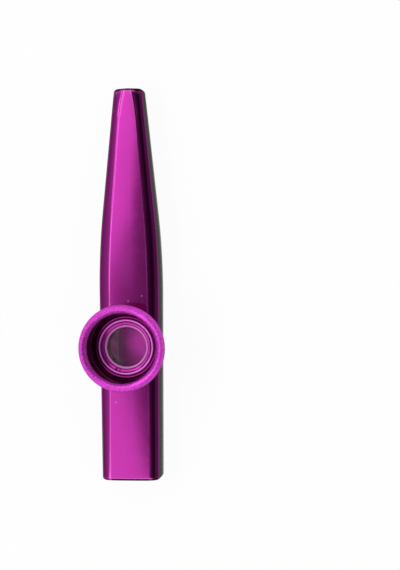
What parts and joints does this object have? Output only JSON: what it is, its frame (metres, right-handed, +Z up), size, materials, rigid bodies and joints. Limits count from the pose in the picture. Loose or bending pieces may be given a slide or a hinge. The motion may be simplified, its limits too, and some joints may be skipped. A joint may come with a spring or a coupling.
{
  "type": "kazoo",
  "caption": "Anodised aluminium kazoo: a flat-faced tapering tube, open at both ends, with a screw-on horn cup over a replaceable membrane.",
  "frame": {"origin": "centre of the bounding box on the surface that the kazoo lies on, back down", "axes": "+Y along the tube from the mouth end to the narrow tip, +Z up along the axis of the horn cup, +X across to the right"},
  "size_m": [0.026, 0.12, 0.026],
  "materials": {
    "body_anodised": "polished magenta anodised",
    "neck_anodised": "turned magenta anodised",
    "gasket_rubber": "matte",
    "film_clear": "clear stretched film",
    "frame_plastic": "translucent white",
    "cup_anodised": "satin magenta anodised rim, polished bowl"
  },
  "bodies": {
    "body": {"body_shell": "body_anodised", "turret_neck": "neck_anodised", "seat_gasket": "gasket_rubber"},
    "membrane": {"membrane_film": "film_clear", "membrane_frame": "frame_plastic"},
    "cup": {"horn_cup": "cup_anodised"}
  },
  "joints": [
    {"name": "cup_lift", "type": "slide", "parent": "body", "child": "membrane", "axis": [0, 0, 1], "range_m": [0, 0.00225]},
    {"name": "cup_turn", "type": "hinge", "parent": "membrane", "child": "cup", "pos_m": [0, -0.0188, 0.016], "axis": [0, 0, 1], "range_deg": [0, 1080]}
  ],
  "couplings": [
    {"joint": "cup_turn", "follows": "cup_lift", "rad_per_m": 8377.6}
  ]
}
